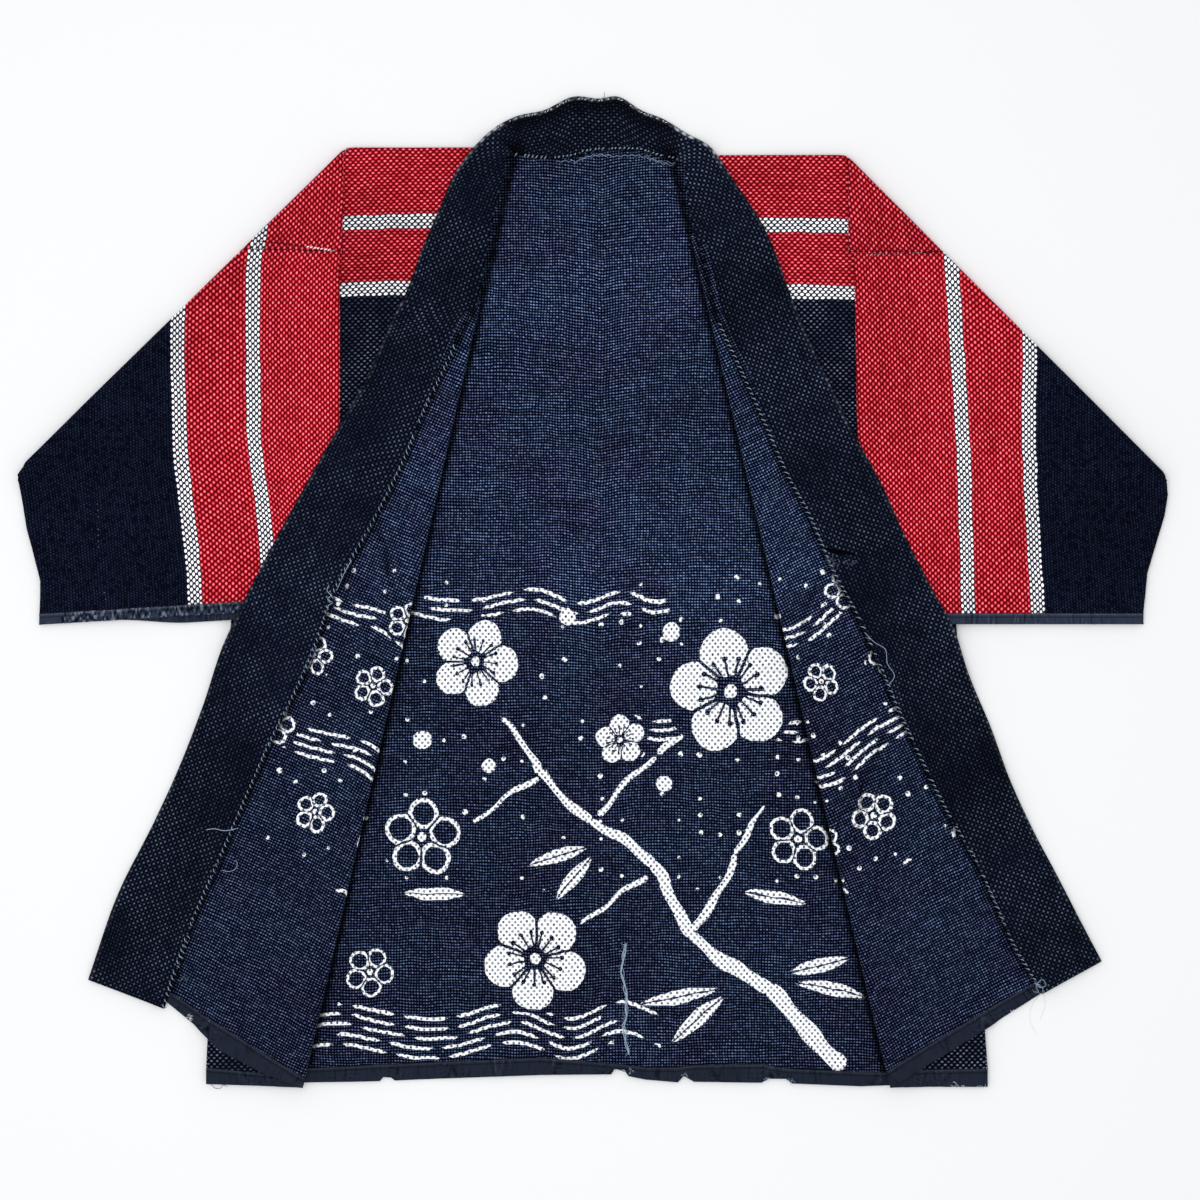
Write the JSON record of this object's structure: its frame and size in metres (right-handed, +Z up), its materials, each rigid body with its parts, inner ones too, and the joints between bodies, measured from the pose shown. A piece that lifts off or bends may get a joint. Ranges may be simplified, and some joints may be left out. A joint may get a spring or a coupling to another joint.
{
  "type": "happi coat",
  "caption": "Thick woven cotton work coat laid flat, fronts turned open and wide sleeves folded down, with a doubled collar band and bound hems.",
  "frame": {"origin": "centre of the bounding box, on the surface that the coat lies on", "axes": "+X across the coat to the right as seen from above, +Y towards the neck, +Z up"},
  "size_m": [0.9984, 0.8597, 0.0109],
  "materials": {
    "inside_cloth": "matt indigo cotton, inside face",
    "sleeve_cloth": "matt woven cotton, red with white stripes and navy",
    "collar_cloth": "matt navy woven cotton",
    "binding_cloth": "matt plain blue-grey cotton"
  },
  "bodies": {
    "root": {"body_back": "inside_cloth", "front_left": "inside_cloth", "front_right": "inside_cloth", "sleeve_left": "sleeve_cloth", "sleeve_right": "sleeve_cloth", "collar": "collar_cloth", "hem_binding_back": "binding_cloth", "hem_binding_left": "binding_cloth", "hem_binding_right": "binding_cloth", "cuff_binding_left": "binding_cloth", "cuff_binding_right": "binding_cloth"}
  },
  "joints": []
}
